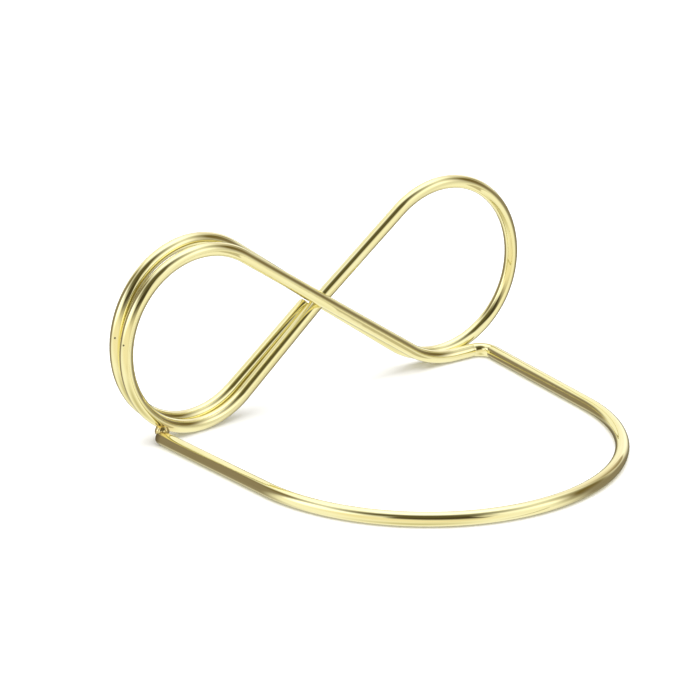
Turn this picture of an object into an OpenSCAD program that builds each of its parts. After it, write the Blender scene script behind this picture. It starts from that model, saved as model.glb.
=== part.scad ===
// Table number holder: one round wire bent into a lying figure-of-eight that stands on edge,
// with a U-shaped foot that reaches forward along the table. A card slides down between the
// two turns of the left eye.
// The wire is laid out as a bender would make it: a chain of corner points, each with the
// radius that rounds it. The straights between the corners and the bends at them are the
// named sections.
// The three diagonals pass one another at the crossing, a wire's width apart, and are sprung
// slightly around one another there.
// Frame: +X along the figure-of-eight, +Y to the back, +Z up. The origin is on the table,
// under the middle of the footprint.

/* [Wire] */
// Diameter of the round wire
wire_d = 2.5; // [2.3:0.1:2.5]
// Size of the chamfer on each cut end
end_chamfer = 0.3; // [0.1:0.05:0.4]

/* [Left eye, rear turn] */
// Bend radius, to the middle of the wire
rear_r = 16.5; // [16:0.1:16.7]
// X of the outermost point, from the crossing
rear_x = -45.4; // [-46:0.1:-45]
// Y of the outermost point
rear_y = -2.1; // [-2.1:0.1:-1.5]
// Height of the lowest point above the table
rear_lift = 0.8; // [0.6:0.1:1.2]
// Slope of the loose tail that closes the turn
tail_slope = 35; // [34.6:0.1:35.1]
// X of the tail's cut end
tail_x = -2.2; // [-6:0.05:-2.2]
// Y of the tail's cut end
tail_y = 2.6; // [2.55:0.05:2.8]

/* [Left eye, front turn] */
// Bend radius, to the middle of the wire
front_r = 16.4; // [16.2:0.1:16.6]
// X of the outermost point, from the crossing
front_x = -45; // [-45.3:0.1:-44.5]
// Y of the outermost point
front_y = -4.7; // [-5.2:0.1:-4.7]
// Height of the lowest point above the table
front_lift = 0; // [0:0.05:0.1]
// Slope of the front diagonal above the crossing
front_slope = 34.7; // [34:0.1:35]

/* [Right eye] */
// Bend radius, to the middle of the wire
right_r = 16.9; // [16.5:0.1:17.2]
// X of the outermost point, from the crossing
right_x = 44.5; // [44:0.1:45]
// Y of the outermost point
right_y = 1.5; // [1.4:0.1:2.2]
// Height of the lowest point above the table
right_lift = 0.35; // [0.2:0.05:0.6]

/* [Crossing] */
// Y of the rising diagonal at the crossing
cross_y = 0.2; // [0:0.05:0.2]
// Distance in Y between the wires that pass each other at the crossing
layer = 2.63; // [2.63:0.01:2.8]
// X at which the rear diagonal is sprung round the rising one
rear_cross_x = 0.75; // [0.5:0.05:1]
// Bend radius where a diagonal is sprung round the next one
spring_r = 60; // [40:5:80]

/* [Foot] */
// Bend radius where the front diagonal levels out on the table
level_r = 18; // [16:0.5:20]
// X of the corner where the front diagonal meets the table
level_x = 24; // [23:0.1:25]
// Y of the wire where it levels out on the table
level_y = -0.6; // [-1.2:0.1:-0.6]
// Bend radius of the heel, to the middle of the wire
heel_r = 3; // [2.5:0.1:4]
// Radius of the bow, to the middle of the wire
bow_r = 35.1; // [34.5:0.1:35.4]
// X of the middle of the bow
bow_x = -0.85; // [-1.1:0.05:-0.85]
// Y of the middle of the bow
bow_y = -32.2; // [-34:0.1:-31]
// Angle by which each leg closes in towards the bow
toe = 4.5; // [4:0.1:4.5]
// Y of the left leg's cut end
leg_end = -4.2; // [-4.4:0.1:-3.6]

/* [Weld] */
// Diameter of the weld bead that ties the left leg to the eye
weld_d = 3; // [2.6:0.1:3.2]

/* [Hidden] */
$fn = 96;
wire_r = wire_d / 2;
gold = [0.86, 0.74, 0.38];
weld_gold = [0.80, 0.68, 0.34];

function unit(v) = v / norm(v);
function up(p, z) = [p.x, p.y, z];

// Plan points: the outermost points, where the wire stands upright, and the crossing
rear_far = [rear_x, rear_y];
front_far = [front_x, front_y];
right_far = [right_x, right_y];
rear_cross = [rear_cross_x, cross_y + layer];
rising_cross = [0, cross_y];
front_cross = [0, cross_y - layer];
tail_end = [tail_x, tail_y];

// Heights of the eyes' middles
rear_z = rear_r + wire_r + rear_lift;
front_z = front_r + wire_r + front_lift;
right_z = right_r + wire_r + right_lift;

// Slope of the straight that runs from the top of one eye to the bottom of another and
// touches both circles, over the unrolled plan distance between their outermost points
function fall_slope(r_a, z_a, r_b, z_b, plan) =
    asin((r_a + r_b) / norm([plan - r_a - r_b, z_a - z_b]))
    + atan2(z_a - z_b, plan - r_a - r_b);
// Height of a corner over or under an eye's middle, for a straight of that slope
function corner_rise(r, slope) = r * tan(45 + slope / 2);

rear_run = norm(rear_cross - rear_far);
rear_slope = fall_slope(rear_r, rear_z, right_r, right_z, rear_run + norm(right_far - rear_cross));
rear_top = rear_z + corner_rise(rear_r, rear_slope);

rising_run = norm(right_far - rising_cross);
rising_slope = fall_slope(right_r, right_z, front_r, front_z,
                          rising_run + norm(rising_cross - front_far));
rising_top = right_z + corner_rise(right_r, rising_slope);

front_top = front_z + corner_rise(front_r, front_slope);
front_run = norm(front_cross - front_far);

tail_foot = rear_z - corner_rise(rear_r, tail_slope);
tail_run = norm(tail_end - rear_far);

// X of the legs at a given y, and the corners of the bow
bow_half = bow_r * tan(45 - toe / 2);
bow_front = bow_y - bow_r;
function leg_x(y, side) = bow_x + side * (bow_half + (y - bow_front) * tan(toe));

CORNERS = [
    up(tail_end, tail_foot + tail_run * tan(tail_slope)),
    up(rear_far, tail_foot),
    up(rear_far, rear_top),
    up(rear_cross, rear_top - rear_run * tan(rear_slope)),
    up(right_far, right_z - corner_rise(right_r, rear_slope)),
    up(right_far, rising_top),
    up(rising_cross, rising_top - rising_run * tan(rising_slope)),
    up(front_far, front_z - corner_rise(front_r, rising_slope)),
    up(front_far, front_top),
    up(front_cross, front_top - front_run * tan(front_slope)),
    [level_x, level_y, wire_r],
    [leg_x(level_y, 1), level_y, wire_r],
    [leg_x(bow_front, 1), bow_front, wire_r],
    [leg_x(bow_front, -1), bow_front, wire_r],
    [leg_x(leg_end, -1), leg_end, wire_r]
];
RADII = [0, rear_r, rear_r, spring_r, right_r, right_r, spring_r, front_r, front_r, spring_r,
         level_r, heel_r, bow_r, bow_r, 0];
last = len(CORNERS) - 1;

function heading(i) = unit(CORNERS[i + 1] - CORNERS[i]);
function turn(i) = i == 0 || i == last ? 0 : acos(heading(i - 1) * heading(i));
// Length of straight that the bend at a corner takes up on each side of it
function reach(i) = RADII[i] * tan(turn(i) / 2);

// Middle of the footprint: from eye to eye, and from the bow's front to the spring bend of
// the rear diagonal, which rounds off its corner by the arc's height
middle_x = (min(rear_x, front_x) + right_x) / 2;
back_y = rear_cross.y - spring_r * (1 / cos(turn(3) / 2) - 1);
middle_y = (bow_front + back_y) / 2;

// Stands its children, drawn along +Z from the origin, at a point and along a heading
module stand(start, way) {
    translate(start)
        rotate([0, acos(way.z), atan2(way.y, way.x)])
            children();
}

// Straight between corner i and the next one
module straight(i) {
    stand(CORNERS[i] + reach(i) * heading(i), heading(i))
        cylinder(r = wire_r, h = norm(CORNERS[i + 1] - CORNERS[i]) - reach(i) - reach(i + 1));
}

// Straight that starts at the bend of corner i, along a heading, and is chamfered where it
// is cut off
module cut_straight(i, way, length) {
    stand(CORNERS[i] + reach(i) * way, way) {
        cylinder(r = wire_r, h = length - end_chamfer);
        translate([0, 0, length - end_chamfer])
            cylinder(r1 = wire_r, r2 = wire_r - end_chamfer, h = end_chamfer);
    }
}

// Bend at corner i: part of a ring whose first end lies on the incoming straight
module bend(i) {
    along = heading(i - 1);
    axis = unit(cross(along, heading(i)));
    out = cross(along, axis);
    middle = CORNERS[i] - reach(i) * along - RADII[i] * out;
    multmatrix([[out.x, along.x, axis.x, middle.x],
                [out.y, along.y, axis.y, middle.y],
                [out.z, along.z, axis.z, middle.z],
                [0, 0, 0, 1]])
        rotate_extrude(angle = turn(i))
            translate([RADII[i], 0])
                circle(r = wire_r);
}

// Puts a section in the part's frame, in its colour
module section(colour = gold) {
    color(colour)
        translate([-middle_x, -middle_y, 0])
            children();
}

// Left eye, rear turn: the tail rises to the crossing and is cut off under the rear diagonal
module tail() {
    section() cut_straight(1, -heading(0), norm(CORNERS[0] - CORNERS[1]) - reach(1));
}
module left_rear_lower_bend() { section() bend(1); }
module left_rear_upper_bend() { section() bend(2); }

// Rear diagonal, down to the right eye
module rear_diagonal_top() { section() straight(2); }
module rear_diagonal_spring() { section() bend(3); }
module rear_diagonal_foot() { section() straight(3); }

// Right eye
module right_lower_bend() { section() bend(4); }
module right_upper_bend() { section() bend(5); }

// Rising diagonal, from the right eye's top down to the left eye's bottom
module rising_diagonal_top() { section() straight(5); }
module rising_diagonal_spring() { section() bend(6); }
module rising_diagonal_foot() { section() straight(6); }

// Left eye, front turn
module left_front_lower_bend() { section() bend(7); }
module left_front_upper_bend() { section() bend(8); }

// Front diagonal, over the crossing and down to the table
module front_diagonal_top() { section() straight(8); }
module front_diagonal_spring() { section() bend(9); }
module front_diagonal_foot() { section() straight(9); }
module levelling_bend() { section() bend(10); }
module heel_run() { section() straight(10); }

// Foot
module heel_bend() { section() bend(11); }
module right_leg() { section() straight(11); }
module bow_right_half() { section() bend(12); }
module bow_left_half() { section() bend(13); }
module left_leg() {
    section() cut_straight(13, heading(13), norm(CORNERS[14] - CORNERS[13]) - reach(13));
}

// Weld bead in the notch where the left leg ends under the front turn
module weld_bead() {
    over_x = leg_x(leg_end, -1);
    over_y = front_y + (cross_y - front_y) * (over_x - front_x) / -front_x;
    to_leg = unit([over_x - front_x - front_r, wire_r - front_z]);
    touch = (front_r + wire_r) * to_leg;
    section(weld_gold)
        difference() {
            translate([touch.x + front_x + front_r, (over_y + leg_end) / 2, touch.y + front_z])
                sphere(d = weld_d);
            bend(7);
            cut_straight(13, heading(13), norm(CORNERS[14] - CORNERS[13]) - reach(13));
        }
}

tail();
left_rear_lower_bend();
left_rear_upper_bend();
rear_diagonal_top();
rear_diagonal_spring();
rear_diagonal_foot();
right_lower_bend();
right_upper_bend();
rising_diagonal_top();
rising_diagonal_spring();
rising_diagonal_foot();
left_front_lower_bend();
left_front_upper_bend();
front_diagonal_top();
front_diagonal_spring();
front_diagonal_foot();
levelling_bend();
heel_run();
heel_bend();
right_leg();
bow_right_half();
bow_left_half();
left_leg();
weld_bead();
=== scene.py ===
"""Table number holder: one mirror-polished, gold-plated wire.

The wire is bent into a figure-of-eight that stands on edge, with a doubled left eye for the
card, and goes on as a U-shaped foot whose loose end is welded under the left eye.
"""

import math

import bpy
import numpy as np
from mathutils import Matrix, Vector


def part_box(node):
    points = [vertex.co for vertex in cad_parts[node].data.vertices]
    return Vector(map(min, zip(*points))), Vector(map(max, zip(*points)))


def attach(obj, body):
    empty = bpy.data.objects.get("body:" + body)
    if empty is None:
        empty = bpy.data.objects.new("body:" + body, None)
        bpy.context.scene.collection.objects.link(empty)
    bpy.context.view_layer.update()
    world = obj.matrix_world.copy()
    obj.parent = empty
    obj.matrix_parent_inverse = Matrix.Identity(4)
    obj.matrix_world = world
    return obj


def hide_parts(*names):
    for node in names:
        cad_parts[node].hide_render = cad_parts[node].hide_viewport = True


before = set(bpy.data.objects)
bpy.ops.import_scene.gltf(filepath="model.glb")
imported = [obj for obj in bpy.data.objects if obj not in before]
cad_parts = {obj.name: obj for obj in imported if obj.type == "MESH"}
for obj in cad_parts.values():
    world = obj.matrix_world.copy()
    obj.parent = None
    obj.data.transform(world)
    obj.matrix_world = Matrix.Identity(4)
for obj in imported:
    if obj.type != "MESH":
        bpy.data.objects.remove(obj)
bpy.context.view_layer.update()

MM = 0.001

# ---------------------------------------------------------------- the bender's chain, in mm

WIRE_R = 1.25
REAR_R, REAR_FAR, REAR_LIFT = 16.5, np.array([-45.4, -2.1]), 0.8
FRONT_R, FRONT_FAR = 16.4, np.array([-45.0, -4.7])
RIGHT_R, RIGHT_FAR, RIGHT_LIFT = 16.9, np.array([44.5, 1.5]), 0.35
TAIL_SLOPE, TAIL_END = math.radians(35.0), np.array([-2.2, 2.6])
FRONT_SLOPE = math.radians(34.7)
REAR_CROSS, RISING_CROSS, FRONT_CROSS = np.array([[0.75, 2.83], [0.0, 0.2], [0.0, -2.43]])
SPRING_R = 60.0
LEVEL_R, LEVEL_X, LEVEL_Y = 18.0, 24.0, -0.6
HEEL_R = 3.0
BOW_R, BOW_X, BOW_Y = 35.1, -0.85, -32.2
TOE = math.radians(4.5)
LEG_END = -4.2


def unit(v):
    return v / np.linalg.norm(v)


def fall_slope(r_a, z_a, r_b, z_b, plan):
    """Slope of the straight from the top of one eye to the bottom of another that touches both
    circles, over the plan distance between their outermost points: the angle whose sine is the
    radii's sum over the distance between the middles, plus the slope of the line of middles."""
    across = plan - r_a - r_b
    return (math.asin((r_a + r_b) / math.hypot(across, z_a - z_b))
            + math.atan2(z_a - z_b, across))


def chain():
    """Corner points of the wire in mm, each with the radius that rounds it, from the loose end
    of the tail to the cut end of the left leg. A corner on an eye's upright is R tan(45 +
    slope / 2) above or below the eye's middle."""
    def length(a, b):
        return np.linalg.norm(a - b)

    def corner_rise(r, slope):
        return r * math.tan(math.pi / 4 + slope / 2)

    rear_z = REAR_R + WIRE_R + REAR_LIFT
    front_z = FRONT_R + WIRE_R
    right_z = RIGHT_R + WIRE_R + RIGHT_LIFT
    rear_run = length(REAR_CROSS, REAR_FAR)
    rear_slope = fall_slope(REAR_R, rear_z, RIGHT_R, right_z,
                            rear_run + length(RIGHT_FAR, REAR_CROSS))
    rear_top = rear_z + corner_rise(REAR_R, rear_slope)
    rising_run = length(RIGHT_FAR, RISING_CROSS)
    rising_slope = fall_slope(RIGHT_R, right_z, FRONT_R, front_z,
                              rising_run + length(RISING_CROSS, FRONT_FAR))
    rising_top = right_z + corner_rise(RIGHT_R, rising_slope)
    front_top = front_z + corner_rise(FRONT_R, FRONT_SLOPE)
    front_drop = length(FRONT_CROSS, FRONT_FAR) * math.tan(FRONT_SLOPE)
    tail_foot = rear_z - corner_rise(REAR_R, TAIL_SLOPE)
    tail_rise = length(TAIL_END, REAR_FAR) * math.tan(TAIL_SLOPE)
    bow_half = BOW_R * math.tan(math.pi / 4 - TOE / 2)
    bow_front = BOW_Y - BOW_R

    def leg(y, side):
        return [BOW_X + side * (bow_half + (y - bow_front) * math.tan(TOE)), y, WIRE_R]

    corners = np.array([
        [*TAIL_END, tail_foot + tail_rise],
        [*REAR_FAR, tail_foot],
        [*REAR_FAR, rear_top],
        [*REAR_CROSS, rear_top - rear_run * math.tan(rear_slope)],
        [*RIGHT_FAR, right_z - corner_rise(RIGHT_R, rear_slope)],
        [*RIGHT_FAR, rising_top],
        [*RISING_CROSS, rising_top - rising_run * math.tan(rising_slope)],
        [*FRONT_FAR, front_z - corner_rise(FRONT_R, rising_slope)],
        [*FRONT_FAR, front_top],
        [*FRONT_CROSS, front_top - front_drop],
        [LEVEL_X, LEVEL_Y, WIRE_R],
        leg(LEVEL_Y, 1),
        leg(bow_front, 1),
        leg(bow_front, -1),
        leg(LEG_END, -1),
    ])
    radii = [0, REAR_R, REAR_R, SPRING_R, RIGHT_R, RIGHT_R, SPRING_R, FRONT_R, FRONT_R,
             SPRING_R, LEVEL_R, HEEL_R, BOW_R, BOW_R, 0]
    corner_heads = [unit(b - a) for a, b in zip(corners[1:4], corners[2:5])]
    spring_turn = math.acos(corner_heads[1] @ corner_heads[2])
    back_y = REAR_CROSS[1] - SPRING_R * (1 / math.cos(spring_turn / 2) - 1)
    corners[:, 0] -= (REAR_FAR[0] + RIGHT_FAR[0]) / 2
    corners[:, 1] -= (bow_front + back_y) / 2
    return corners, radii


# Names of the wire's sections in order: a straight after corner i, then the bend at i + 1.
# Where one bend runs straight into the next there is no straight.
STRAIGHTS = ["tail", None, "rear_diagonal_top", "rear_diagonal_foot", None,
             "rising_diagonal_top", "rising_diagonal_foot", None, "front_diagonal_top",
             "front_diagonal_foot", "heel_run", "right_leg", None, "left_leg"]
BENDS = ["left_rear_lower_bend", "left_rear_upper_bend", "rear_diagonal_spring",
         "right_lower_bend", "right_upper_bend", "rising_diagonal_spring",
         "left_front_lower_bend", "left_front_upper_bend", "front_diagonal_spring",
         "levelling_bend", "heel_bend", "bow_right_half", "bow_left_half"]


def turned(v, axis, angles):
    """v turned about axis by each of the angles, by Rodrigues' formula."""
    c, s = np.cos(angles)[:, None], np.sin(angles)[:, None]
    return v * c + np.cross(axis, v) * s + axis * (axis @ v) * (1 - c)


def wire_rings(step):
    """Centre, heading and first cross direction of every ring along the whole wire. The cross
    direction is carried through each bend without twist, by the bend's own turn. Also gives
    the outward direction of the nearest bend, its tightness (wire radius over bend radius) and
    the first ring of each section."""
    corners, radii = chain()
    head = np.array([unit(b - a) for a, b in zip(corners[:-1], corners[1:])])
    turns = [0] + [math.acos(np.clip(a @ b, -1, 1)) for a, b in zip(head[:-1], head[1:])] + [0]
    reach = [r * math.tan(t / 2) for r, t in zip(radii, turns)]
    side = unit(np.cross(head[0], [0, 0, 1]))
    rows = {k: [] for k in ("centre", "heading", "side", "out", "tight")}
    starts, count = {}, 0

    def add(name, centre, heading, across, out, tight):
        nonlocal count
        starts[name] = count
        count += len(centre)
        for key, rows_here in zip(rows, (centre, heading, across, out, tight)):
            rows[key].append(np.broadcast_to(rows_here, (len(centre), 3)) if key != "tight"
                             else np.full(len(centre), rows_here))

    for i, name in enumerate(STRAIGHTS):
        begin = corners[i] + reach[i] * head[i]
        length = np.linalg.norm(corners[i + 1] - corners[i]) - reach[i] - reach[i + 1]
        if name:
            t = np.arange(0, length - step / 4, length / max(2, round(length / step)))
            add(name, begin + t[:, None] * head[i], head[i], side, side, 0.0)
        j = i + 1
        if j == len(corners) - 1:
            end = begin + length * head[i]
            add("end", end[None], head[i], side, side, 0.0)
            break
        axis = unit(np.cross(head[i], head[j]))
        out = np.cross(head[i], axis)
        middle = corners[j] - reach[j] * head[i] - radii[j] * out
        arc = radii[j] * turns[j]
        finest = min(step, radii[j] / RINGS_PER_RADIAN)
        t = np.arange(0, turns[j] - 1e-6, turns[j] / round(arc / finest))
        add(BENDS[i], middle + radii[j] * turned(out, axis, t), turned(head[i], axis, t),
            turned(side, axis, t), turned(out, axis, t), WIRE_R / radii[j])
        side = turned(side, axis, np.array([turns[j]]))[0]
    return {k: np.concatenate(v) for k, v in rows.items()}, starts


def smooth_step(x):
    x = np.clip(x, 0, 1)
    return x * x * (3 - 2 * x)


# lengths in mm
SIDES = 48
RING_STEP = 0.45
RINGS_PER_RADIAN = 12    # fewest rings in a bend
END_ROUND = 0.42         # rounding of a sheared end
END_RINGS = 7
END_DOME = 0.06          # height of the dome on a sheared end
END_MARGIN = 0.1         # free length between a sheared end's rings and the rest
DOME_RINGS = np.array([0.8, 0.55, 0.3, 0.08])    # radius of each ring, over the dome's own
RUN_OUT = 1.6            # length over which a bend's flattening fades
FLATTENING = 0.17        # of the radius, for a bend as tight as the wire's radius
WIDENING = 0.35          # share of the flattening that comes out as width
GROOVE_DEPTH, GROOVE_HALF_WIDTH, GROOVE_INSET = 0.05, 0.34, 0.5
SHEARED_STRIPS = 5       # strips of faces at a cut end that carry the sheared steel


def wire_surface():
    """The whole wire as one grid: ring number along it, angle around it. The radius is the
    wire's, times a slow drawn wave, less the flattening that bending gives (the section is
    narrower in the plane of a bend and wider across it, in step with the bend's tightness),
    less the two grooves that the bending pin leaves at the heel. At both cut ends the rings
    follow a quarter round and then a low dome to the pole."""
    ring, starts = wire_rings(RING_STEP)
    centre, heading, side = ring["centre"], ring["heading"], ring["side"]
    along = np.concatenate([[0], np.cumsum(np.linalg.norm(np.diff(centre, axis=0), axis=1))])

    # flattening runs out of a bend over about 3 mm on each side of it
    spread = np.exp(-((along[:, None] - along[None]) / RUN_OUT) ** 2)
    spread /= spread.sum(1, keepdims=True)
    bent = spread @ (ring["out"] * ring["tight"][:, None])
    tight = np.linalg.norm(bent, axis=1)
    other = np.cross(heading, side)

    around = np.linspace(0, 2 * np.pi, SIDES, endpoint=False)
    cos, sin = np.cos(around)[None, :, None], np.sin(around)[None, :, None]
    radial = side[:, None] * cos + other[:, None] * sin
    lean = np.einsum("rsk,rk->rs", radial, bent)
    outward = lean / np.maximum(tight[:, None], 1e-9)
    flat = FLATTENING * tight[:, None] * (WIDENING - outward ** 2)

    # drawing leaves waves 23, 9.7 and 61 mm long, each a share of the radius high
    s, a = along[:, None], around[None]
    wave = (0.00225 * np.sin(2 * np.pi * s / 23.0 + 1.1 * np.sin(a + 0.7))
            + 0.0015 * np.sin(2 * np.pi * s / 9.7 + a + 2.0)
            + 0.001 * np.cos(2 * a + 2 * np.pi * s / 61.0))
    radius = WIRE_R * (1 + flat + wave)

    heel_from = along[starts["heel_bend"]]
    heel_to = along[starts["right_leg"]]
    inner = smooth_step(0.55 - 0.45 * outward)
    for place in (heel_from + GROOVE_INSET, heel_to - GROOVE_INSET):
        radius = radius - GROOVE_DEPTH * inner * np.exp(-((s - place) / GROOVE_HALF_WIDTH) ** 2)

    # sheared ends: quarter round, then a dome
    def end_cap(k, sign):
        t = np.linspace(0, np.pi / 2, END_RINGS)[1:]
        back = END_ROUND * (1 - np.sin(t))
        inset = END_ROUND * (1 - np.cos(t))
        inner_r = WIRE_R - END_ROUND
        radii = np.concatenate([WIRE_R - inset, inner_r * DOME_RINGS])
        ahead = np.concatenate([-back, END_DOME * (1 - DOME_RINGS ** 2)]) - END_DOME
        c = centre[k] + sign * heading[k] * ahead[:, None]
        rad = radial[k][None] * radii[:, None, None]
        return c[:, None] + rad, along[k] + sign * ahead

    keep = ((along > END_ROUND + END_MARGIN)
            & (along < along[-1] - END_ROUND - END_MARGIN))
    first_grid, first_along = end_cap(0, -1)
    last_grid, last_along = end_cap(-1, 1)
    body = centre[:, None] + radial * radius[..., None]
    # widened bends would dip 0.03 mm below the table, so they are cut level with it
    body[..., 2] = np.maximum(body[..., 2], 0.0)
    grid = np.concatenate([first_grid[::-1], body[keep], last_grid])
    full_along = np.concatenate([first_along[::-1], along[keep], last_along])
    shift = len(first_grid) - int(np.argmax(keep))
    starts = {k: v + shift for k, v in starts.items()}
    starts["tail"], starts["end"] = 0, len(grid) - 1
    return grid * MM, full_along * MM, around, starts


def grid_normals(grid):
    """Outward unit normals of the closed tube: the cross product of the central differences
    along and around it."""
    du = np.gradient(grid, axis=0)
    dv = np.roll(grid, -1, axis=1) - np.roll(grid, 1, axis=1)
    n = np.cross(dv, du)
    return n / np.maximum(np.linalg.norm(n, axis=2, keepdims=True), 1e-15)


def strip_quads(rings, sides):
    """Quads between neighbouring rings of points, as point numbers."""
    i, j = np.meshgrid(np.arange(rings - 1), np.arange(sides), indexing="ij")
    k = (j + 1) % sides
    return np.stack([i * sides + j, i * sides + k, (i + 1) * sides + k, (i + 1) * sides + j],
                    -1).reshape(-1, 4)


def linked_object(name, data):
    obj = bpy.data.objects.new(name, data)
    bpy.context.collection.objects.link(obj)
    return obj


def wire_piece(name, grid, normals, along, around, first, last, materials, sheared):
    """Rings first to last of the wire as a closed mesh. A many-sided face closes each end. Its
    normals are the whole wire's, so the pieces meet without a visible seam. The attribute
    'drawn' holds the distance along the wire and the cosine and sine of the angle around it.
    sheared lists the ends, 0 or -1, whose last rings carry the second material."""
    part, norm, s = grid[first:last + 1], normals[first:last + 1], along[first:last + 1]
    rings = len(part)
    quads = strip_quads(rings, SIDES)
    start_cap = np.arange(SIDES)[::-1]
    end_cap = (rings - 1) * SIDES + np.arange(SIDES)
    mesh = bpy.data.meshes.new(name)
    mesh.from_pydata(part.reshape(-1, 3), [], quads.tolist() + [start_cap.tolist(),
                                                               end_cap.tolist()])
    mesh.polygons.foreach_set("use_smooth", np.ones(len(mesh.polygons), bool))
    slots = np.zeros(len(mesh.polygons), np.int32)
    ring_of = np.repeat(np.arange(rings - 1), SIDES)
    if 0 in sheared:
        slots[:-2][ring_of < SHEARED_STRIPS] = 1
        slots[-2] = 1
    if -1 in sheared:
        slots[:-2][ring_of >= rings - 1 - SHEARED_STRIPS] = 1
        slots[-1] = 1
    mesh.polygons.foreach_set("material_index", slots)
    loops = np.concatenate([quads.ravel(), start_cap, end_cap])
    corner_normals = norm.reshape(-1, 3)[loops]
    axis_start = unit(part[0].mean(0) - part[1].mean(0))
    axis_end = unit(part[-1].mean(0) - part[-2].mean(0))
    corner_normals[-2 * SIDES:-SIDES] = axis_start
    corner_normals[-SIDES:] = axis_end
    drawn = mesh.attributes.new("drawn", "FLOAT_VECTOR", "POINT")
    values = np.empty((rings, SIDES, 3))
    values[..., 0] = s[:, None]
    values[..., 1] = np.cos(around) * WIRE_R * MM
    values[..., 2] = np.sin(around) * WIRE_R * MM
    drawn.data.foreach_set("vector", values.ravel())
    mesh.update()
    mesh.normals_split_custom_set(corner_normals.tolist())
    for m in materials:
        mesh.materials.append(m)
    return linked_object(name, mesh)


# ---------------------------------------------------------------- materials

def linear(hex_colour):
    """sRGB hex to linear RGBA."""
    c = np.array([int(hex_colour[i:i + 2], 16) / 255 for i in (0, 2, 4)])
    c = np.where(c <= 0.04045, c / 12.92, ((c + 0.055) / 1.055) ** 2.4)
    return (*c, 1.0)


def add_node(tree, kind, settings=None, links=None):
    """Adds a node, sets its properties and sockets by name or number, and links its inputs."""
    node = tree.nodes.new(kind)
    for key, value in (settings or {}).items():
        if isinstance(key, str) and hasattr(node, key):
            setattr(node, key, value)
        else:
            node.inputs[key].default_value = value
    for key, source in (links or {}).items():
        tree.links.new(source, node.inputs[key])
    return node


def feed(tree, node, values):
    """Fills a node's inputs, each from a socket or a plain value."""
    for key, value in values.items():
        if isinstance(value, bpy.types.NodeSocket):
            tree.links.new(value, node.inputs[key])
        else:
            node.inputs[key].default_value = value


def new_material(name):
    material = bpy.data.materials.new(name)
    material.use_nodes = True
    tree = material.node_tree
    tree.nodes.clear()
    output = add_node(tree, "ShaderNodeOutputMaterial")
    shader = add_node(tree, "ShaderNodeBsdfPrincipled")
    tree.links.new(shader.outputs[0], output.inputs["Surface"])
    return material, tree, shader


def near_point(tree, position, place, inner, outer):
    """1 within inner of a place and 0 beyond outer, in metres."""
    gap = add_node(tree, "ShaderNodeVectorMath", {"operation": "DISTANCE", 1: place},
                   {0: position})
    return add_node(tree, "ShaderNodeMapRange",
                    {"interpolation_type": "SMOOTHSTEP", "From Min": outer, "From Max": inner},
                    {"Value": gap.outputs["Value"]}).outputs[0]


def mix_colour(tree, factor, a, b):
    """Mixes colours a and b, each a colour or a socket, by a socket."""
    node = add_node(tree, "ShaderNodeMix", {"data_type": "RGBA"}, {0: factor})
    feed(tree, node, {6: a, 7: b})
    return node.outputs[2]


def math_node(tree, operation, a, b):
    """One sum on two values, each a number or a socket."""
    node = add_node(tree, "ShaderNodeMath", {"operation": operation})
    feed(tree, node, {0: a, 1: b})
    return node.outputs[0]


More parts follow.
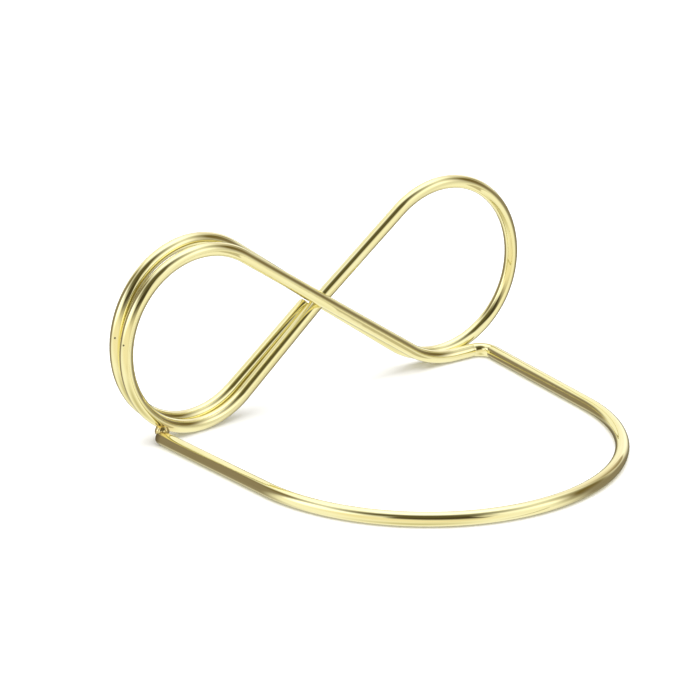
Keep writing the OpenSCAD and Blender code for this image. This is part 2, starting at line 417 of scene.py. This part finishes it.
def gold_plate(weld_place, cut_place, pits):
    """Pale gold plate on mirror-polished steel wire: a bright, almost white yellow where it is
    lit, olive brown where it looks at the dark. Die lines from drawing run along the wire,
    the plate is a little deeper in slow patches, and heat has browned it beside the weld."""
    material, tree, shader = new_material("mirror_polished_gold_plate")
    drawn = add_node(tree, "ShaderNodeAttribute", {"attribute_name": "drawn"}).outputs["Vector"]
    place = add_node(tree, "ShaderNodeTexCoord").outputs["Object"]

    # die lines: about 0.12 mm apart around the wire and some 15 mm long, coarser than real
    stretch = add_node(tree, "ShaderNodeVectorMath",
                       {"operation": "MULTIPLY", 1: (65.0, 4200.0, 4200.0)}, {0: drawn})
    lines = add_node(tree, "ShaderNodeTexNoise",
                     {"Scale": 1.0, "Detail": 3.0, "Roughness": 0.6},
                     {"Vector": stretch.outputs[0]}).outputs[0]
    # polishing leaves soft ripples some 2 mm long
    ripple = add_node(tree, "ShaderNodeTexNoise", {"Scale": 420.0, "Detail": 1.0},
                      {"Vector": place}).outputs[0]
    # plate thickness changes over about 12 mm
    patches = add_node(tree, "ShaderNodeTexNoise", {"Scale": 85.0, "Detail": 2.0},
                       {"Vector": place}).outputs[0]

    tone = add_node(tree, "ShaderNodeMapRange", {"From Min": 0.35, "From Max": 0.7},
                    {"Value": patches}).outputs[0]
    colour = mix_colour(tree, tone, linear("FAF3C2"), linear("F7EEB6"))
    heat = near_point(tree, place, weld_place, 1.2 * MM, 3.6 * MM)
    heat = math_node(tree, "MULTIPLY", heat, 0.4)
    colour = mix_colour(tree, heat, colour, linear("E3C67E"))
    # beside the cut the plate is thin and the steel shows grey through it
    bare = near_point(tree, place, cut_place, 1.0 * MM, 2.3 * MM)
    colour = mix_colour(tree, math_node(tree, "MULTIPLY", bare, 0.8), colour,
                        linear("8C8271"))
    dark = None
    for pit in pits:
        here = near_point(tree, place, pit, 0.10 * MM, 0.24 * MM)
        dark = here if dark is None else math_node(tree, "MAXIMUM", dark, here)
    colour = mix_colour(tree, math_node(tree, "MULTIPLY", dark, 0.85), colour,
                        linear("3A2E16"))
    tree.links.new(colour, shader.inputs["Base Color"])

    rough = add_node(tree, "ShaderNodeMapRange",
                     {"From Min": 0.3, "From Max": 0.75, "To Min": 0.02, "To Max": 0.06},
                     {"Value": lines}).outputs[0]
    rough = math_node(tree, "ADD", rough, math_node(tree, "MULTIPLY", dark, 0.5))
    tree.links.new(rough, shader.inputs["Roughness"])
    shader.inputs["Metallic"].default_value = 1.0

    ripple_bump = add_node(tree, "ShaderNodeBump", {"Strength": 0.5, "Distance": 0.012 * MM},
                           {"Height": ripple})
    line_bump = add_node(tree, "ShaderNodeBump", {"Strength": 0.4, "Distance": 0.0016 * MM},
                         {"Height": lines, "Normal": ripple_bump.outputs[0]})
    pit_bump = add_node(tree, "ShaderNodeBump",
                        {"invert": True, "Strength": 1.0, "Distance": 0.06 * MM},
                        {"Height": dark, "Normal": line_bump.outputs[0]})
    tree.links.new(pit_bump.outputs[0], shader.inputs["Normal"])
    return material


def sheared_steel():
    """Sheared end of the wire: the shear drags grey-brown grooves across it, and only a thin,
    dull wash of gold has reached it."""
    material, tree, shader = new_material("sheared_steel_under_thin_plate")
    place = add_node(tree, "ShaderNodeTexCoord").outputs["Object"]
    # shear grooves, about 0.15 mm apart, run across the face
    stretch = add_node(tree, "ShaderNodeVectorMath",
                       {"operation": "MULTIPLY", 1: (1500.0, 1500.0, 6500.0)}, {0: place})
    grooves = add_node(tree, "ShaderNodeTexNoise", {"Scale": 1.0, "Detail": 4.0},
                       {"Vector": stretch.outputs[0]}).outputs[0]
    spread = add_node(tree, "ShaderNodeMapRange", {"From Min": 0.35, "From Max": 0.68},
                      {"Value": grooves}).outputs[0]
    colour = mix_colour(tree, spread, linear("5E584B"), linear("8E8466"))
    tree.links.new(colour, shader.inputs["Base Color"])
    shader.inputs["Metallic"].default_value = 1.0
    shader.inputs["Roughness"].default_value = 0.38
    bump = add_node(tree, "ShaderNodeBump", {"Strength": 0.7, "Distance": 0.03 * MM},
                    {"Height": grooves})
    tree.links.new(bump.outputs[0], shader.inputs["Normal"])
    return material


def plated_weld():
    """Weld bead plated over: rounder, duller and a little redder than the wire, from the
    scale left under the plate."""
    material, tree, shader = new_material("gold_plate_over_weld_scale")
    place = add_node(tree, "ShaderNodeTexCoord").outputs["Object"]
    # scale in specks of about 0.3 mm
    specks = add_node(tree, "ShaderNodeTexNoise", {"Scale": 3200.0, "Detail": 3.0},
                      {"Vector": place}).outputs[0]
    spread = add_node(tree, "ShaderNodeMapRange", {"From Min": 0.4, "From Max": 0.7},
                      {"Value": specks}).outputs[0]
    colour = mix_colour(tree, spread, linear("F3E8AE"), linear("D8BC78"))
    tree.links.new(colour, shader.inputs["Base Color"])
    shader.inputs["Metallic"].default_value = 1.0
    rough = add_node(tree, "ShaderNodeMapRange", {"To Min": 0.14, "To Max": 0.36},
                     {"Value": spread}).outputs[0]
    tree.links.new(rough, shader.inputs["Roughness"])
    bump = add_node(tree, "ShaderNodeBump", {"Strength": 0.6, "Distance": 0.04 * MM},
                    {"Height": specks})
    tree.links.new(bump.outputs[0], shader.inputs["Normal"])
    return material


# ---------------------------------------------------------------- the pieces

grid, along, around, starts = wire_surface()
normals = grid_normals(grid)

weld_low, weld_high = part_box("weld_bead")
weld_centre = np.array((weld_low + weld_high) / 2)

# two pinholes in the plate, at the far left of the left eye's rear and front turns
PITS = np.array([[-45.636, 29.351, 21.155], [-45.387, 26.931, 20.442]]) * MM
leg_cut = grid[-1].mean(0)

gold = gold_plate(tuple(weld_centre), tuple(leg_cut), [tuple(pit) for pit in PITS])
sheared = sheared_steel()
weld_metal = plated_weld()

# piece, the CAD nodes that it stands for in wire order, the section that follows it
PIECES = [
    ("left_eye_rear_turn", ["tail", "left_rear_lower_bend", "left_rear_upper_bend"],
     "rear_diagonal_top"),
    ("rear_diagonal", ["rear_diagonal_top", "rear_diagonal_spring", "rear_diagonal_foot"],
     "right_lower_bend"),
    ("right_eye", ["right_lower_bend", "right_upper_bend"], "rising_diagonal_top"),
    ("rising_diagonal", ["rising_diagonal_top", "rising_diagonal_spring",
                         "rising_diagonal_foot"], "left_front_lower_bend"),
    ("left_eye_front_turn", ["left_front_lower_bend", "left_front_upper_bend"],
     "front_diagonal_top"),
    ("front_diagonal", ["front_diagonal_top", "front_diagonal_spring",
                        "front_diagonal_foot"], "levelling_bend"),
    ("heel", ["levelling_bend", "heel_run", "heel_bend"], "right_leg"),
    ("right_leg_wire", ["right_leg"], "bow_right_half"),
    ("bow", ["bow_right_half", "bow_left_half"], "left_leg"),
    ("left_leg_wire", ["left_leg"], "end"),
]
for name, nodes, following in PIECES:
    ends = [0] if nodes[0] == "tail" else [-1] if following == "end" else []
    piece = wire_piece(name, grid, normals, along, around, starts[nodes[0]],
                       starts[following], [gold] + ([sheared] if ends else []), ends)
    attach(piece, "root")
    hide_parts(*nodes)


BEAD_SHARE = 0.90    # size of the bead before its ripples, over the CAD bead's


def weld_lump():
    """Weld bead: a ball by latitude and longitude, drawn out along the notch between the two
    wires, with ripples that run round it and a lop-sided slump."""
    lat_count, lon_count = 40, 64
    lat = np.linspace(0, np.pi, lat_count)[:, None]
    lon = np.linspace(0, 2 * np.pi, lon_count, endpoint=False)[None]
    half = np.array((weld_high - weld_low) / 2)
    ball = np.stack([np.sin(lat) * np.cos(lon), np.cos(lat) + 0 * lon,
                     np.sin(lat) * np.sin(lon)], -1)
    ripple = 1 + 0.030 * np.sin(13 * lat + 0.6 * np.cos(lon)) * np.sin(lat)
    slump = 1 + 0.06 * np.cos(lon - 2.0) * np.sin(lat) + 0.04 * np.cos(3 * lon + lat)
    shape = ball * (ripple * slump * BEAD_SHARE)[..., None] * half
    grid = weld_centre + shape
    verts = np.concatenate([grid[1:-1].reshape(-1, 3), grid[:1, 0], grid[-1:, 0]])
    rows = lat_count - 2
    quads = strip_quads(rows, lon_count)
    top, bottom = len(verts) - 2, len(verts) - 1
    a = np.arange(lon_count)
    b = (a + 1) % lon_count
    last = (rows - 1) * lon_count
    caps = [(top, q, p) for p, q in zip(a.tolist(), b.tolist())]
    caps += [(bottom, last + p, last + q) for p, q in zip(a.tolist(), b.tolist())]
    mesh = bpy.data.meshes.new("weld_lump")
    mesh.from_pydata(verts, [], quads.tolist() + caps)
    mesh.polygons.foreach_set("use_smooth", np.ones(len(mesh.polygons), bool))
    mesh.materials.append(weld_metal)
    mesh.update()
    return linked_object("weld_lump", mesh)


bead = weld_lump()
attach(bead, "root")
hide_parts("weld_bead")

# ---------------------------------------------------------------- studio

FLOOR_HALF = 2.5
floor_mesh = bpy.data.meshes.new("studio_floor")
floor_mesh.from_pydata([(-FLOOR_HALF, -FLOOR_HALF, 0), (FLOOR_HALF, -FLOOR_HALF, 0),
                        (FLOOR_HALF, FLOOR_HALF, 0), (-FLOOR_HALF, FLOOR_HALF, 0)],
                       [], [(0, 1, 2, 3)])
floor = linked_object("studio_floor", floor_mesh)
paper, paper_tree, paper_shader = new_material("matt_white_paper_floor")
paper_shader.inputs["Base Color"].default_value = linear("F4F4F4")
paper_shader.inputs["Roughness"].default_value = 0.9
paper_shader.inputs["Specular IOR Level"].default_value = 0.1
floor_mesh.materials.append(paper)
# the wire doesn't mirror the floor: below the horizon it sees the tent
floor.visible_glossy = False


def direction(azimuth, elevation):
    """Unit vector: azimuth 0 is +Y and 90 is +X, elevation is above the horizon, in degrees."""
    a, e = math.radians(azimuth), math.radians(elevation)
    return Vector((math.sin(a) * math.cos(e), math.cos(a) * math.cos(e), math.sin(e)))


# The light tent as the wire sees it. Each patch: azimuth, elevation, half width, half height
# in degrees, tilt in degrees, edge softness, colour, radiance. A scratch program fitted all
# rows but the last by least squares; they were then rounded, and some were changed by hand.
TENT = ("FFFEF4", 1.02)
PATCHES = [
    (-83, 26, 22, 23, -46, 0.42, "F6F8FF", 2.20),
    (55, 67, 21, 71, 3, 0.47, "F6F9FF", 1.55),
    (98, 3, 57, 16, -34, 0.81, "FBFBFF", 2.10),
    (-44, 62, 9, 29, -92, 0.89, "FEFFFD", 1.41),
    (-153, 15, 28, 47, -4, 0.12, "FFE9AC", 0.06),
    (-33, 3, 25, 68, -16, 0.32, "FFEDD2", 0.27),
    (113, 17, 36, 20, -114, 0.60, "FFE08A", 0.17),
    (73, 29, 11, 17, -22, 0.20, "FFE7C0", 0.37),
    (54, 34, 12, 18, 53, 0.94, "FFF9F3", 0.92),
    (180, 22, 5, 14, 10, 0.61, "FFFBEC", 0.84),
    (-138, -63, 18, 24, -30, 0.89, "FFF8D1", 0.65),
    (-133, -9, 73, 23, -13, 0.56, "FFF7DC", 0.95),
    (-137, 61, 43, 23, 15, 0.65, "FFF0A7", 0.12),
    (89, -16, 38, 29, -40, 0.40, "FFF0D8", 0.27),
    (143, -44, 3, 21, -1, 0.14, "FFF6DB", 0.60),
    (-40, 40, 10, 8, 8, 0.25, "FFEBB1", 0.22),
    (35, -21, 36, 24, 0, 0.30, "FFF2D0", 0.20),
]


PATCH_DEPTH = 0.9    # half size of a patch along its own direction


def light_tent(base, patches):
    """World light: an even tent with soft-edged bright and dark patches laid over it in turn.
    A patch is an ellipse about a direction: the direction's offset from the patch's middle,
    turned into the patch's own axes and divided by its half sizes, is inside 1."""
    world = bpy.data.worlds.new("light_tent")
    bpy.context.scene.world = world
    world.use_nodes = True
    tree = world.node_tree
    tree.nodes.clear()
    look = add_node(tree, "ShaderNodeTexCoord").outputs["Generated"]
    base_colour = [c * base[1] for c in linear(base[0])[:3]] + [1.0]
    colour = base_colour
    for azimuth, elevation, half_w, half_h, tilt, soft, tint, power in patches:
        middle = direction(azimuth, elevation)
        right = middle.cross(Vector((0, 0, 1)))
        if right.length < 1e-3:
            right = Vector((1, 0, 0))
        right.normalize()
        up = right.cross(middle)
        spin = Matrix.Rotation(math.radians(tilt), 3, middle)
        axes = Matrix((spin @ right, spin @ up, -middle)).transposed()
        size = (math.sin(math.radians(half_w)), math.sin(math.radians(half_h)), PATCH_DEPTH)
        local = add_node(tree, "ShaderNodeMapping",
                         {"vector_type": "TEXTURE", "Location": middle,
                          "Rotation": axes.to_euler(), "Scale": size}, {"Vector": look})
        reach = add_node(tree, "ShaderNodeVectorMath", {"operation": "LENGTH"},
                         {0: local.outputs[0]}).outputs["Value"]
        inside = add_node(tree, "ShaderNodeMapRange",
                          {"interpolation_type": "SMOOTHSTEP", "From Min": 1 + soft,
                           "From Max": 1 - soft}, {"Value": reach}).outputs[0]
        lit = [c * power for c in linear(tint)[:3]] + [1.0]
        colour = mix_colour(tree, inside, colour, lit)
    background = add_node(tree, "ShaderNodeBackground", {"Strength": 1.0}, {"Color": colour})
    seen = add_node(tree, "ShaderNodeBackground", {"Color": (1, 1, 1, 1), "Strength": 1.0})
    path = add_node(tree, "ShaderNodeLightPath")
    both = add_node(tree, "ShaderNodeMixShader", {},
                    {0: path.outputs["Is Glossy Ray"], 1: seen.outputs[0],
                     2: background.outputs[0]})
    output = add_node(tree, "ShaderNodeOutputWorld")
    tree.links.new(both.outputs[0], output.inputs["Surface"])


light_tent(TENT, PATCHES)

# broad overhead fill that lifts the floor to white; it isn't mirrored in the wire
FILL_SIZE, FILL_HEIGHT = 2.4, 1.6    # metres
FILL_POWER = 30.0                    # watts
fill_light = bpy.data.lights.new("overhead_fill", "AREA")
fill_light.shape = "DISK"
fill_light.size = FILL_SIZE
fill_light.energy = FILL_POWER
fill = linked_object("overhead_fill", fill_light)
fill.location = (0.0, 0.0, FILL_HEIGHT)
fill.visible_glossy = False

# ---------------------------------------------------------------- camera

LOOK_AT = Vector((6.30, 32.28, 7.05)) * MM
CAMERA_AZIMUTH, CAMERA_ELEVATION, CAMERA_DISTANCE = -34.97, 20.27, 557.4 * MM
CAMERA_LENS = 154.4
turn_a, rise_a = math.radians(CAMERA_AZIMUTH), math.radians(CAMERA_ELEVATION)
back = Vector((math.sin(turn_a) * math.cos(rise_a), -math.cos(turn_a) * math.cos(rise_a),
               math.sin(rise_a)))
camera_data = bpy.data.cameras.new("camera")
camera_data.sensor_width = 36.0
camera_data.lens = CAMERA_LENS
camera_data.clip_start = 0.05
camera_data.clip_end = 20.0
camera = linked_object("camera", camera_data)
camera.location = LOOK_AT + back * CAMERA_DISTANCE
camera.rotation_mode = "QUATERNION"
camera.rotation_quaternion = (-back).to_track_quat("-Z", "Y")
bpy.context.scene.camera = camera
bpy.context.scene.view_settings.view_transform = "Standard"
